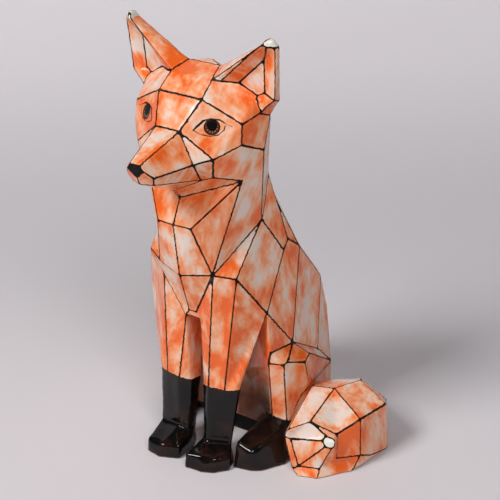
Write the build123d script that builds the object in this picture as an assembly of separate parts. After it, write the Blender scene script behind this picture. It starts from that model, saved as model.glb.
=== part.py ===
from build123d import *
import os

# Seated fox ornament, slip-cast in faceted pieces that are luted together
# with slip before firing. The fox faces -Y and its own left is +X; the tail
# lies along its left side. All lengths are in millimetres.

# Driving sizes
COLLAR_HEIGHT = 180    # floor to the collar edge under the throat
HEAD_TALL = 120        # collar edge to the ear tips
HEAD_HALF = 50         # centre plane to the outside of a cheek
HEAD_LONG = 100        # nose to the back of the crown
MUZZLE_REACH = 50      # nose ahead of the chest
BODY_HALF = 50         # centre plane to the outside of the flank
BODY_LONG = 140        # chest to rump
HIP_HALF = 62          # centre plane to the outside of a hind foot
HAUNCH_TALL = 80       # floor to the top of a thigh
LEG_SPREAD = 32        # centre plane to the outside of a foreleg
LEG_DEEP = 30          # front to back of a foreleg
SOCK_TALL = 56         # floor to the top edge of a black sock
PAW_SPREAD = 34        # centre plane to the outside of a forepaw
PAW_REACH = 12         # toes ahead of the chest
PAW_LONG = 34          # toes to the back of the forepaw
PAW_TALL = 16          # floor to the ankle
TAIL_INSIDE = 60       # centre plane to the thigh side of the tail
TAIL_FRONT = 20        # tail tip behind the chest
TAIL_WIDE = 50
TAIL_LONG = 120
TAIL_TALL = 48
WALL = 4.5             # thickness that the slip leaves in the mould
VENT_R = 5             # vent hole in the underside, for the firing
VENT_DEPTH = 90        # vent hole behind the chest

# Every corner of the facets is a share of the sizes of its region:
# across, from front to back, and up.
head_side_shares = {
    "brow": (0.325, 0.48, 0.695),
    "bridge": (0.18, 0.34, 0.545),
    "nose_top": (0.08, 0.0, 0.445),
    "nose_side": (0.135, 0.005, 0.415),
    "lip": (0.21, 0.055, 0.37),
    "chin_side": (0.17, 0.08, 0.32),
    "whisker": (0.41, 0.325, 0.385),
    "cheek": (0.58, 0.415, 0.405),
    "jaw": (0.34, 0.45, 0.26),
    "jowl": (0.49, 0.475, 0.28),
    "temple": (0.81, 0.565, 0.58),
    "cheek_back": (0.82, 0.55, 0.47),
    "ear_front": (0.89, 0.705, 0.61),
    "ear_back": (0.94, 0.785, 0.58),
    "neck_side": (0.92, 0.73, 0.405),
    "neck": (0.75, 0.61, 0.25),
    "nape_side": (0.70, 0.945, 0.205),
    "nape": (0.34, 1.10, 0.20),
    "crown": (0.23, 0.755, 0.805),
    "ear_root": (0.31, 0.605, 0.77),
    "skull": (0.40, 1.0, 0.65),
    "skull_low": (0.44, 1.11, 0.435),
    "rim_in": (0.40, 0.635, 0.76),
    "deep": (0.57, 0.705, 0.75),
    "low": (0.80, 0.74, 0.685),
    "low_out": (0.83, 0.71, 0.68),
    "lat_in": (0.90, 0.75, 0.71),
    "lat_out": (1.085, 0.715, 0.69),
    "lat_back": (1.02, 0.83, 0.655),
    "deep_up": (0.915, 0.725, 0.895),
    "tip_in": (0.97, 0.635, 0.993),
    "tip_mid": (1.04, 0.65, 0.983),
    "tip_out": (1.12, 0.68, 0.978),
    "tip_back": (1.15, 0.72, 0.983),
    "tip_rear": (0.985, 0.75, 0.988),
    "cap_in": (0.995, 0.655, 1.018),
    "cap_mid": (1.055, 0.67, 1.018),
    "cap_out": (1.115, 0.695, 1.012),
    "cap_rear": (1.015, 0.735, 1.018),
    "cap": (1.05, 0.695, 1.028),
}
head_mid_shares = {
    "nose_low": (0.0, 0.025, 0.365),
    "chin": (0.0, 0.045, 0.32),
    "throat_top": (0.0, 0.40, 0.185),
    "throat": (0.0, 0.46, 0.13),
    "crown_mid": (0.0, 0.83, 0.81),
}
body_side_shares = {
    "collar": (0.26, -0.08, 0.995),
    "chest": (0.42, 0.005, 0.80),
    "arm": (0.42, 0.035, 0.745),
    "shoulder": (0.745, 0.24, 0.975),
    "point": (0.68, 0.065, 0.785),
    "elbow": (0.86, 0.225, 0.61),
    "blade_low": (0.87, 0.36, 0.825),
    "blade": (0.87, 0.395, 0.86),
    "neck_back": (0.79, 0.345, 1.02),
    "withers": (0.91, 0.48, 0.81),
    "thigh": (0.97, 0.395, 0.44),
    "flank": (0.86, 0.71, 0.615),
    "hip": (0.96, 0.635, 0.325),
    "rump": (0.86, 0.78, 0.455),
    "rump_low": (0.93, 0.79, 0.215),
    "root": (0.93, 0.79, 0.10),
    "seat_side": (0.93, 0.785, 0.0),
    "back_1": (0.38, 0.515, 1.01),
    "back_2": (0.42, 0.655, 0.795),
    "back_3": (0.46, 0.835, 0.58),
    "back_4": (0.48, 0.93, 0.39),
    "back_5": (0.50, 0.955, 0.18),
    "root_in": (0.51, 0.94, 0.065),
    "seat": (0.52, 0.93, 0.0),
    "crotch": (0.06, 0.055, 0.61),
    "crotch_low": (0.11, 0.055, 0.585),
    "belly_1": (0.18, 0.245, 0.50),
    "belly_2": (0.28, 0.33, 0.28),
    "belly_3": (0.30, 0.355, 0.0),
    "armpit": (0.52, 0.315, 0.47),
}
body_mid_shares = {
    "bib": (0.0, -0.085, 0.995),
    "breast": (0.0, -0.045, 0.785),
}
# The right foreleg stands a little wider than the left one.
right_arm_shares = {
    "point": (0.70, 0.065, 0.81),
    "elbow": (0.98, 0.20, 0.595),
}
haunch_shares = {
    "knee": (0.725, 0.235, 1.0),
    "knee_in": (0.70, 0.23, 0.90),
    "knee_out": (0.845, 0.27, 0.885),
    "knee_top": (0.87, 0.285, 0.905),
    "side_low": (0.935, 0.40, 0.83),
    "side_top": (0.91, 0.465, 0.86),
    "side_mid": (0.945, 0.44, 0.575),
    "shin_in": (0.685, 0.275, 0.355),
    "shin_out": (0.845, 0.305, 0.31),
    "shin_side": (0.95, 0.455, 0.25),
    "heel": (0.97, 0.47, 0.0),
    "heel_in": (0.50, 0.44, 0.0),
    "shin_back": (0.53, 0.33, 0.30),
    "toe_in": (0.515, 0.075, 0.225),
    "toe_out": (0.73, 0.065, 0.19),
    "instep": (0.80, 0.135, 0.23),
    "instep_back": (0.885, 0.235, 0.29),
    "toe_1": (0.52, 0.04, 0.0),
    "toe_2": (0.725, 0.06, 0.0),
    "toe_3": (0.83, 0.09, 0.0),
    "toe_4": (0.97, 0.20, 0.0),
    "foot_in": (0.48, 0.27, 0.0),
}
# The right hind foot is tucked further back than the left one.
right_foot_shares = {
    "toe_in": (0.515, 0.20, 0.225),
    "toe_out": (0.675, 0.215, 0.20),
    "instep": (0.725, 0.27, 0.2125),
    "instep_back": (0.805, 0.32, 0.235),
    "toe_1": (0.52, 0.17, 0.0),
    "toe_2": (0.67, 0.195, 0.0),
    "toe_3": (0.75, 0.24, 0.0),
    "toe_4": (0.87, 0.315, 0.0),
}
# Foreleg section at the top edge of the sock, then at the ankle. The right
# paw is turned out and sits a little shorter than the left one.
sock_shares = {
    "sock_1": (0.37, 0.235, 1.01),
    "sock_2": (0.735, 0.325, 1.0),
    "sock_3": (0.96, 0.405, 1.01),
    "sock_4": (1.0, 0.55, 1.01),
    "sock_5": (0.815, 0.865, 0.965),
    "sock_6": (0.36, 0.935, 0.95),
    "sock_7": (0.125, 0.735, 0.95),
    "sock_8": (0.14, 0.385, 0.97),
}
left_paw_shares = {
    "ankle_1": (0.34, 0.485, 0.94),
    "ankle_2": (0.67, 0.655, 0.94),
    "ankle_3": (0.81, 0.70, 0.94),
    "ankle_4": (0.75, 0.795, 0.905),
    "ankle_5": (0.60, 0.97, 0.875),
    "ankle_6": (0.295, 0.985, 0.875),
    "ankle_7": (0.16, 0.855, 0.875),
    "ankle_8": (0.175, 0.63, 0.875),
    "paw_1": (0.15, 0.015, 0.66),
    "paw_2": (0.455, 0.09, 0.69),
    "paw_3": (0.735, 0.19, 0.625),
    "paw_4": (0.955, 0.44, 0.625),
    "paw_5": (0.795, 0.72, 0.66),
    "paw_6": (0.645, 0.895, 0.72),
    "paw_7": (0.265, 0.97, 0.72),
    "paw_8": (0.13, 0.705, 0.69),
    "sole_1": (0.13, 0.0, 0.0),
    "sole_2": (0.515, 0.015, 0.0),
    "sole_3": (0.75, 0.12, 0.0),
    "sole_4": (0.97, 0.38, 0.0),
    "sole_5": (0.88, 0.705, 0.0),
    "sole_6": (0.705, 0.925, 0.0),
    "sole_7": (0.235, 1.0, 0.0),
    "sole_8": (0.105, 0.705, 0.0),
}
right_paw_shares = {
    "ankle_1": (0.37, 0.60, 1.06),
    "ankle_2": (0.735, 0.66, 0.95),
    "ankle_3": (0.91, 0.705, 0.95),
    "ankle_4": (0.81, 0.80, 0.91),
    "ankle_5": (0.62, 0.965, 0.88),
    "ankle_6": (0.295, 0.985, 0.88),
    "ankle_7": (0.16, 0.855, 0.90),
    "ankle_8": (0.19, 0.68, 1.0),
    "paw_1": (0.12, 0.22, 0.625),
    "paw_2": (0.46, 0.07, 0.625),
    "paw_3": (0.83, 0.10, 0.625),
    "paw_4": (0.87, 0.355, 0.69),
    "paw_5": (0.81, 0.68, 0.75),
    "paw_6": (0.645, 0.895, 0.75),
    "paw_7": (0.265, 0.97, 0.75),
    "paw_8": (0.13, 0.705, 0.69),
    "sole_1": (0.105, 0.185, 0.0),
    "sole_2": (0.51, 0.015, 0.0),
    "sole_3": (0.85, 0.085, 0.0),
    "sole_4": (0.925, 0.355, 0.0),
    "sole_5": (0.88, 0.705, 0.0),
    "sole_6": (0.705, 0.92, 0.0),
    "sole_7": (0.235, 1.0, 0.0),
    "sole_8": (0.105, 0.705, 0.0),
}
tail_shares = {
    "t_root": (-0.01, 0.35, 0.96),
    "t_top": (0.305, 0.385, 0.98),
    "t_far": (0.475, 0.565, 0.96),
    "t_edge": (0.925, 0.53, 0.75),
    "t_mid": (0.85, 0.295, 0.77),
    "t_ridge": (0.665, 0.165, 0.625),
    "t_fore": (0.335, 0.105, 0.79),
    "t_left": (0.12, 0.005, 0.71),
    "t_lip": (0.05, 0.015, 0.58),
    "t_cap": (0.14, 0.03, 0.54),
    "t_cap_low": (0.26, 0.04, 0.125),
    "t_toe": (0.20, 0.005, 0.105),
    "t_low": (0.535, 0.08, 0.125),
    "t_wall": (0.66, 0.17, 0.23),
    "t_wall_mid": (0.885, 0.28, 0.21),
    "t_wall_far": (0.94, 0.36, 0.125),
    "tip_a": (0.565, 0.115, 0.635),
    "tip_b": (0.56, 0.085, 0.585),
    "tip_c": (0.61, 0.08, 0.51),
    "tip_d": (0.69, 0.095, 0.48),
    "tip_e": (0.725, 0.11, 0.52),
    "tip_f": (0.705, 0.125, 0.595),
    "g_1": (0.29, 0.005, 0.0),
    "g_2": (0.55, 0.04, 0.0),
    "g_3": (0.845, 0.22, 0.0),
    "g_4": (0.96, 0.55, 0.0),
    "g_5": (0.64, 0.785, 0.0),
    "g_6": (0.26, 0.92, 0.0),
    "g_7": (-0.28, 0.95, 0.0),
    "g_8": (0.12, 0.10, 0.0),
    "g_9": (0.07, 0.42, 0.0),
    "b_1": (-0.04, 0.49, 0.875),
    "b_2": (0.35, 0.66, 0.83),
    "b_3": (0.805, 0.63, 0.67),
    "b_4": (0.64, 0.77, 0.34),
    "b_5": (0.24, 0.88, 0.33),
    "b_6": (-0.30, 0.92, 0.15),
}

spot = {}


def lay(table, start, size, sides):
    for name, (across, along, high) in table.items():
        for tag, side in sides:
            spot[name + tag] = Vector(
                side * (start[0] + across * size[0]),
                start[1] + along * size[1],
                start[2] + high * size[2],
            )


LEFT = (("_l", 1),)
RIGHT = (("_r", -1),)
MIDDLE = (("", 1),)
head_start = (0, -MUZZLE_REACH, COLLAR_HEIGHT)
head_size = (HEAD_HALF, HEAD_LONG, HEAD_TALL)
body_start = (0, 0, 0)
body_size = (BODY_HALF, BODY_LONG, COLLAR_HEIGHT)
haunch_size = (HIP_HALF, BODY_LONG, HAUNCH_TALL)
paw_start = (0, -PAW_REACH, 0)
paw_size = (PAW_SPREAD, PAW_LONG, PAW_TALL)
tail_start = (TAIL_INSIDE, TAIL_FRONT, 0)
tail_size = (TAIL_WIDE, TAIL_LONG, TAIL_TALL)
lay(head_side_shares, head_start, head_size, LEFT + RIGHT)
lay(head_mid_shares, head_start, head_size, MIDDLE)
lay(body_side_shares, body_start, body_size, LEFT + RIGHT)
lay(right_arm_shares, body_start, body_size, RIGHT)
lay(body_mid_shares, body_start, body_size, MIDDLE)
lay(haunch_shares, body_start, haunch_size, LEFT + RIGHT)
lay(right_foot_shares, body_start, haunch_size, RIGHT)
lay(sock_shares, body_start, (LEG_SPREAD, LEG_DEEP, SOCK_TALL), LEFT + RIGHT)
lay(left_paw_shares, paw_start, paw_size, LEFT)
lay(right_paw_shares, paw_start, paw_size, RIGHT)
lay(tail_shares, tail_start, tail_size, MIDDLE)


def one_side(tag, *rows):
    # a name that isn't a corner in the middle gets the tag of its side
    return [[n if n in spot else n + tag for n in row.split()] for row in rows]


def both_sides(*rows):
    return one_side("_l", *rows) + one_side("_r", *rows)


def fan(corners):
    return [(corners[0], corners[i], corners[i + 1]) for i in range(1, len(corners) - 1)]


def spread(tris):
    return sum((b - a).cross(c - a).length for a, b, c in tris)


def triangles(names):
    # a facet is fanned from the corner that gives it the least area, so a
    # hollow-cornered facet has no triangle that laps over another
    p = [spot[n] for n in names]
    return min((fan(p[k:] + p[:k]) for k in range(len(p))), key=spread)


def seam(names):
    # the face where two castings meet is fanned from its middle
    p = [spot[n] for n in names]
    m = sum(p, Vector(0, 0, 0)) / len(p)
    return [(m, p[i], p[(i + 1) % len(p)]) for i in range(len(p))]


def solid_from(tris):
    faces = [Face(Wire.make_polygon([a, b, c], close=True)) for a, b, c in tris]
    return Solid(Shell(faces))


def casting(facets, seams):
    tris = [t for names in facets for t in triangles(names)]
    tris += [t for names in seams for t in seam(names)]
    return solid_from(tris)


# Seams between castings
NECK_RING = ["bib", "collar_l", "chest_l", "shoulder_l", "nape_side_l", "nape_l",
             "nape_r", "nape_side_r", "shoulder_r", "chest_r", "collar_r"]
EAR_RING = "ear_root rim_in deep low low_out ear_front ear_back crown"
LEG_RING_L = "chest point elbow armpit belly_1 crotch_low crotch"
LEG_RING_R = "arm point elbow armpit belly_1 crotch_low"
SOCK_RING = "sock_1 sock_2 sock_3 sock_4 sock_5 sock_6 sock_7 sock_8"
FOOT_RING = "shin_in shin_out shin_side heel heel_in shin_back"
TAIL_RING = ["root_l", "seat_side_l", "seat_l", "root_in_l"]


head_facets = [
    ["brow_l", "brow_r", "bridge_r", "bridge_l"],
    ["brow_l", "ear_root_l", "crown_l", "crown_r", "ear_root_r", "brow_r"],
    ["bridge_l", "bridge_r", "nose_top_r", "nose_top_l"],
    ["nose_low", "nose_side_l", "nose_top_l", "nose_top_r", "nose_side_r"],
    ["throat_top", "jaw_l", "chin_side_l", "chin", "chin_side_r", "jaw_r"],
    ["skull_l", "skull_low_l", "skull_low_r", "skull_r"],
    ["skull_low_l", "nape_l", "nape_r", "skull_low_r"],
    ["crown_mid", "skull_l", "skull_r"],
    ["crown_mid", "crown_r", "crown_l"],
] + both_sides(
    "brow temple ear_front low_out low deep rim_in ear_root",
    "cheek_back cheek bridge brow temple",
    "bridge cheek whisker",
    "nose_side lip whisker bridge nose_top",
    "nose_low chin chin_side lip nose_side",
    "lip chin_side jaw whisker",
    "whisker jaw jowl cheek",
    "throat_top throat neck jowl jaw",
    "throat bib collar neck",
    "neck collar chest",
    "neck_side cheek_back temple ear_front ear_back",
    "neck_side shoulder chest neck jowl cheek cheek_back",
    "ear_back nape_side shoulder neck_side",
    "crown_mid crown skull",
    "crown ear_back skull",
    "ear_back nape_side skull_low skull",
    "skull_low nape_side nape",
)

ear_rows = (
    "ear_root tip_in tip_rear crown",
    "ear_root rim_in tip_in",
    "rim_in deep deep_up tip_mid tip_in",
    "deep_up deep low lat_in",
    "tip_mid deep_up lat_in lat_out tip_out",
    "tip_out lat_out lat_back tip_back",
    "low low_out ear_front lat_out lat_in",
    "ear_front ear_back lat_back lat_out",
    "lat_back ear_back crown tip_rear tip_back",
    "tip_in tip_mid cap_mid cap_in",
    "tip_mid tip_out cap_out cap_mid",
    "tip_out tip_back cap_out",
    "tip_back tip_rear cap_rear cap_out",
    "tip_rear tip_in cap_in cap_rear",
    "cap_in cap_mid cap",
    "cap_mid cap_out cap",
    "cap_out cap_rear cap",
    "cap_rear cap_in cap",
)

torso_facets = [
    ["breast", "bib", "collar_l", "chest_l"],
    ["bib", "breast", "chest_r", "collar_r"],
    ["breast", "chest_l", "crotch_l", "crotch_r"],
    ["breast", "crotch_r", "crotch_low_r", "arm_r", "chest_r"],
    ["arm_r", "point_r", "chest_r"],
    ["crotch_r", "crotch_l", "crotch_low_l"],
    ["crotch_r", "crotch_low_l", "crotch_low_r"],
    ["crotch_low_l", "belly_1_l", "belly_1_r", "crotch_low_r"],
    ["belly_1_l", "belly_2_l", "belly_2_r", "belly_1_r"],
    ["belly_2_l", "belly_3_l", "belly_3_r", "belly_2_r"],
    ["back_1_l", "back_2_l", "back_2_r", "back_1_r"],
    ["back_2_l", "back_3_l", "back_3_r", "back_2_r"],
    ["back_3_l", "back_4_l", "back_4_r", "back_3_r"],
    ["back_4_l", "back_5_l", "back_5_r", "back_4_r"],
    ["nape_l", "back_1_l", "back_1_r", "nape_r"],
    ["back_5_l", "root_in_l", "root_in_r", "back_5_r"],
    ["root_in_l", "seat_l", "seat_r", "root_in_r"],
    ["seat_l", "seat_side_l", "heel_l", "heel_in_l", "belly_3_l",
     "belly_3_r", "heel_in_r", "heel_r", "seat_side_r", "seat_r"],
    ["root_in_r", "root_r", "seat_side_r", "seat_r"],
] + both_sides(
    "shoulder point elbow blade_low",
    "shoulder chest point",
    "shoulder blade_low blade neck_back nape_side",
    "elbow thigh withers blade blade_low",
    "neck_back blade withers",
    "withers thigh hip flank",
    "flank hip rump_low rump",
    "nape nape_side neck_back back_1",
    "neck_back withers back_2 back_1",
    "withers flank back_3 back_2",
    "flank rump back_4 back_3",
    "rump rump_low back_5 back_4",
    "rump_low root root_in back_5",
    "elbow knee thigh",
    "elbow knee_in knee",
    "elbow armpit knee_in",
    "armpit belly_2 knee_in",
    "armpit belly_1 belly_2",
    "knee_in shin_back shin_in",
    "knee_in belly_2 shin_back",
    "shin_back belly_2 belly_3 heel_in",
    "knee_top thigh knee knee_in knee_out",
    "knee_top side_low side_top thigh",
    "knee_in shin_in shin_out knee_out",
    "side_mid side_low knee_top knee_out shin_out shin_side",
    "side_top side_low side_mid rump_low",
    "side_mid root rump_low",
    "side_mid shin_side root",
    "shin_side heel seat_side root",
    "thigh side_top rump_low hip",
)

leg_rows_l = (
    "chest point sock_2 sock_1",
    "sock_1 sock_8 crotch_low crotch chest",
    "elbow sock_4 sock_3",
    "elbow sock_3 sock_2 point",
    "elbow armpit sock_5 sock_4",
    "armpit belly_1 sock_6 sock_5",
    "belly_1 sock_7 sock_6",
    "belly_1 crotch_low sock_8 sock_7",
)
leg_rows_r = (
    "arm sock_2 sock_1 crotch_low",
    "sock_1 sock_8 crotch_low",
    "elbow sock_4 sock_3",
    "elbow sock_3 arm point",
    "arm sock_3 sock_2",
) + leg_rows_l[4:]


def stocking_rows():
    rows = []
    for i in range(1, 9):
        j = i % 8 + 1
        rows.append(f"sock_{i} sock_{j} ankle_{j} ankle_{i}")
        rows.append(f"ankle_{i} ankle_{j} paw_{j} paw_{i}")
        rows.append(f"paw_{i} paw_{j} sole_{j} sole_{i}")
    rows.append("sole_1 sole_2 sole_3 sole_4 sole_5 sole_6 sole_7 sole_8")
    return rows


foot_rows = (
    "shin_in toe_in toe_out instep",
    "shin_in instep instep_back shin_out",
    "toe_in toe_1 toe_2 toe_out",
    "toe_out toe_2 toe_3",
    "instep toe_out toe_3 toe_4",
    "instep toe_4 instep_back",
    "instep_back toe_4 heel shin_side shin_out",
    "toe_in shin_in shin_back",
    "toe_in shin_back foot_in toe_1",
    "shin_back heel_in foot_in",
    "toe_1 foot_in heel_in heel toe_4 toe_3 toe_2",
)

tail_facets = one_side(
    "_l",
    "t_root t_top t_fore t_left",
    "t_top t_mid t_ridge t_fore",
    "t_top t_far t_edge t_mid",
    "t_mid t_edge g_4 t_wall_far t_wall_mid",
    "t_ridge t_mid t_wall_mid t_wall",
    "t_fore t_ridge tip_f tip_a",
    "t_left t_fore tip_a tip_b t_cap t_lip",
    "t_cap tip_b tip_c t_cap_low",
    "t_lip t_cap t_cap_low t_toe",
    "t_cap_low tip_c tip_d t_low",
    "t_ridge t_wall tip_e tip_f",
    "t_wall t_low tip_d tip_e",
    "tip_a tip_f tip_e tip_d tip_c tip_b",
    "t_toe t_cap_low t_low g_2 g_1",
    "t_low t_wall t_wall_mid g_3 g_2",
    "t_wall_mid t_wall_far g_4 g_3",
    "t_root b_1 b_2 t_far t_top",
    "t_far b_2 b_3 t_edge",
    "t_edge b_3 b_4 g_5 g_4",
    "b_2 b_5 b_4 b_3",
    "b_4 b_5 g_6 g_5",
    "b_5 b_6 g_7 g_6",
    "b_1 root b_5 b_2",
    "root root_in b_6 b_5",
    "root_in seat g_7 b_6",
    "t_toe g_1 g_8 t_lip",
    "t_left t_lip g_8 g_9 t_root",
    "t_root g_9 b_1",
    "b_1 g_9 seat_side root",
    "g_9 g_8 g_1 g_2 g_3 g_4 g_5 g_6 g_7",
    "seat_side g_9 g_7 seat",
)


# The hollow that the drained slip leaves. Each row is one level of the
# torso or the head: height, then half width and place from the front for the
# front edge, the two side edges and the back edge, as shares.
body_hollow_shares = [
    (WALL / COLLAR_HEIGHT, (0.40, 0.43), (0.92, 0.515), (0.84, 0.755), (0.48, 0.87)),
    (0.22, (0.32, 0.385), (1.0, 0.415), (0.84, 0.745), (0.50, 0.885)),
    (0.40, (0.16, 0.355), (0.82, 0.385), (0.80, 0.73), (0.44, 0.87)),
    (0.52, (0.20, 0.30), (0.72, 0.33), (0.78, 0.70), (0.44, 0.83)),
    (0.60, (0.24, 0.17), (0.72, 0.245), (0.76, 0.67), (0.44, 0.78)),
    (0.80, (0.24, 0.035), (0.64, 0.17), (0.74, 0.47), (0.36, 0.605)),
    (0.98, (0.16, -0.03), (0.54, 0.185), (0.68, 0.345), (0.32, 0.485)),
]
head_hollow_shares = [
    (0.215, (0.16, 0.58), (0.56, 0.63), (0.56, 0.92), (0.28, 1.04)),
    (0.435, (0.20, 0.42), (0.68, 0.57), (0.68, 0.80), (0.32, 1.04)),
    (0.635, (0.20, 0.52), (0.52, 0.63), (0.48, 0.84), (0.28, 0.92)),
    (0.715, (0.12, 0.66), (0.20, 0.69), (0.20, 0.76), (0.10, 0.82)),
]
# Muzzle, from the head forwards: place, half width, bottom and top
muzzle_hollow_shares = [(0.50, 0.20, 0.35, 0.485), (0.12, 0.08, 0.35, 0.415)]
# Foreleg, downwards: height, centre across and back, half width and depth
leg_hollow_shares = [
    (2.25, 0.75, 0.90, 0.25, 0.235),
    (1.60, 0.60, 0.85, 0.195, 0.235),
    (1.0, 0.56, 0.64, 0.22, 0.15),
    (0.21, 0.50, 0.55, 0.14, 0.11),
]
# Tail, from its tip to the torso: inner and outer edge, and their heights
tail_hollow_shares = [
    ((0.24, 0.11), 0.645, (0.50, 0.14), 0.56),
    ((0.17, 0.35), 0.81, (0.74, 0.315), 0.665),
    ((0.08, 0.55), 0.73, (0.78, 0.535), 0.625),
    ((-0.08, 0.715), 0.375, (0.52, 0.72), 0.36),
    ((-0.24, 0.785), 0.17, (-0.22, 0.86), 0.14),
    ((-0.52, 0.68), 0.20, (-0.70, 0.78), 0.20),
]


def place(start, size, across, along, high):
    return Vector(
        start[0] + across * size[0],
        start[1] + along * size[1],
        start[2] + high * size[2],
    )


def stacked(rings):
    # closed solid through rings that have the same number of corners
    tris = []
    for below, above in zip(rings, rings[1:]):
        for i in range(len(below)):
            j = (i + 1) % len(below)
            tris += [(below[i], below[j], above[j]), (below[i], above[j], above[i])]
    return solid_from(tris + fan(rings[0]) + fan(rings[-1]))


def level(start, size, row):
    high, *edges = row
    left = [place(start, size, across, along, high) for across, along in edges]
    right = [place(start, size, -across, along, high) for across, along in edges]
    return left + right[::-1]


def leg_hollow(side):
    size = (side * LEG_SPREAD, LEG_DEEP, SOCK_TALL)
    rings = []
    for high, across, along, half_wide, half_deep in leg_hollow_shares:
        corners = ((-1, -1), (1, -1), (1, 1), (-1, 1))
        rings.append([
            place(body_start, size, across + u * half_wide, along + v * half_deep, high)
            for u, v in corners
        ])
    return stacked(rings)


def muzzle_ring(along, half, low, high):
    return [
        place(head_start, head_size, across, along, up)
        for across, up in ((-half, low), (half, low), (half, high), (-half, high))
    ]


def tail_ring(inner, inner_high, outer, outer_high):
    floor = WALL / TAIL_TALL
    return [
        place(tail_start, tail_size, *inner, floor),
        place(tail_start, tail_size, *outer, floor),
        place(tail_start, tail_size, *outer, outer_high),
        place(tail_start, tail_size, *inner, inner_high),
    ]


hollows = [
    stacked([level(body_start, body_size, row) for row in body_hollow_shares]
            + [level(head_start, head_size, row) for row in head_hollow_shares]),
    stacked([muzzle_ring(*row) for row in muzzle_hollow_shares]),
    leg_hollow(1),
    leg_hollow(-1),
    stacked([tail_ring(*row) for row in tail_hollow_shares]),
]

pieces = {}
pieces["torso"] = casting(
    torso_facets,
    [NECK_RING, TAIL_RING] + one_side("_l", LEG_RING_L, FOOT_RING)
    + one_side("_r", LEG_RING_R, FOOT_RING),
)
pieces["head"] = casting(head_facets, [NECK_RING] + both_sides(EAR_RING))
for word, tag in (("left", "_l"), ("right", "_r")):
    pieces[word + "_ear"] = casting(
        one_side(tag, *ear_rows), one_side(tag, EAR_RING))
    rows = leg_rows_l if tag == "_l" else leg_rows_r
    top = LEG_RING_L if tag == "_l" else LEG_RING_R
    pieces[word + "_foreleg"] = casting(
        one_side(tag, *rows), one_side(tag, top, SOCK_RING))
    pieces[word + "_forepaw"] = casting(
        one_side(tag, *stocking_rows()), one_side(tag, SOCK_RING))
    pieces[word + "_hind_foot"] = casting(
        one_side(tag, *foot_rows), one_side(tag, FOOT_RING))
pieces["tail"] = casting(tail_facets, [TAIL_RING])


# Every piece gives up its share of the hollow, and the torso its vent hole
vent = Pos(0, VENT_DEPTH, 0) * Cylinder(VENT_R, 3 * WALL)
pieces["torso"] -= vent
for name in pieces:
    for hollow in hollows:
        pieces[name] = pieces[name] - hollow

# The origin is the middle of the footprint, on the floor
box = Compound(children=[Compound([p]) for p in pieces.values()]).bounding_box()
shift = Location((-box.center().X, -box.center().Y, -box.min.Z))

os.makedirs("parts", exist_ok=True)
for name, piece in pieces.items():
    export_step(shift * piece, f"parts/{name}.step")
    print(name, round(piece.volume), len(piece.solids()))
print("shift", shift)
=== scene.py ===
import math
import random

import bmesh
import bpy
import numpy as np
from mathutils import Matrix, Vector
from mathutils.bvhtree import BVHTree
from mathutils.geometry import delaunay_2d_cdt


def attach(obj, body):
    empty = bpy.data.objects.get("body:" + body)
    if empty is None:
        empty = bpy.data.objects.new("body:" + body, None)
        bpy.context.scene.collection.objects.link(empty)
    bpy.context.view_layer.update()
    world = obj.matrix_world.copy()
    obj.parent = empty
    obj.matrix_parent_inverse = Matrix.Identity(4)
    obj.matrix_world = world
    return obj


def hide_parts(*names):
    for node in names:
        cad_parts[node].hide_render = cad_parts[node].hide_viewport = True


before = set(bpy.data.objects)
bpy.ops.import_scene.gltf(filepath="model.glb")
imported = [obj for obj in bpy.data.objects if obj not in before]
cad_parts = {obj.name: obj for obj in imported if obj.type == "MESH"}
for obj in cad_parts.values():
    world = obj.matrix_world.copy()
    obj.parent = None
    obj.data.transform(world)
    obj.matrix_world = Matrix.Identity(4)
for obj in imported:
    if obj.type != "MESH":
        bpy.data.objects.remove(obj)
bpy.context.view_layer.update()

# The camera stands in front and to the fox's left, about a metre away, and
# looks down on it.
aim = Vector((0.02637, -0.042, 0.1702))
turn, tilt, away = math.radians(33.5), math.radians(25.3), 0.9971
back = Vector((math.sin(turn) * math.cos(tilt), -math.cos(turn) * math.cos(tilt), math.sin(tilt)))
LENS, SENSOR = 115.2, 36                # mm
lens = bpy.data.cameras.new("camera")
lens.lens, lens.sensor_width = LENS, SENSOR
camera = bpy.data.objects.new("camera", lens)
camera.location = aim + back * away
camera.rotation_euler = (-back).to_track_quat("-Z", "Y").to_euler()
bpy.context.scene.collection.objects.link(camera)
bpy.context.scene.camera = camera

# The fox is cast in eleven pieces of white earthenware. Slip luting and
# fettling make their outsides one skin, so this skin is made first, from all
# the castings, and each piece below takes its own part of it.
MM = 0.001
fox = Vector((-23.93, -42, 0))          # the fox's centre line, in the frame, mm
castings = sorted(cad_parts)
LOOKS, LEAST_OPEN = 300, 4              # looks out of a face, and how many must get out
GRAZING = 0.05                          # looks flatter than this along the face don't count
LIFT, WELD = 0.0003, 0.00002            # m: start of a look, and points that are one place
POINT_STEP = 1.4                        # mm between the points of the skin
ROW_SHARE = 0.866                       # rows of even triangles lie this much closer
RIM_SHARE = 0.6                         # least way from a facet's edge, in steps
EDGE_PASSES = 4                         # strokes of the wet sponge that rounds the edges
eye_middle = (24.9, -3.4, 247.6)        # the fox's left eye, from the fox's centre line, mm
EYE_STEP, EYE_REACH, EYE_GAP = 0.45, 14.0, 0.4  # mm: finer points and how far round each eye
EYE_FACETS = 60                         # mm from an eye to the facets that can hold it


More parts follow.
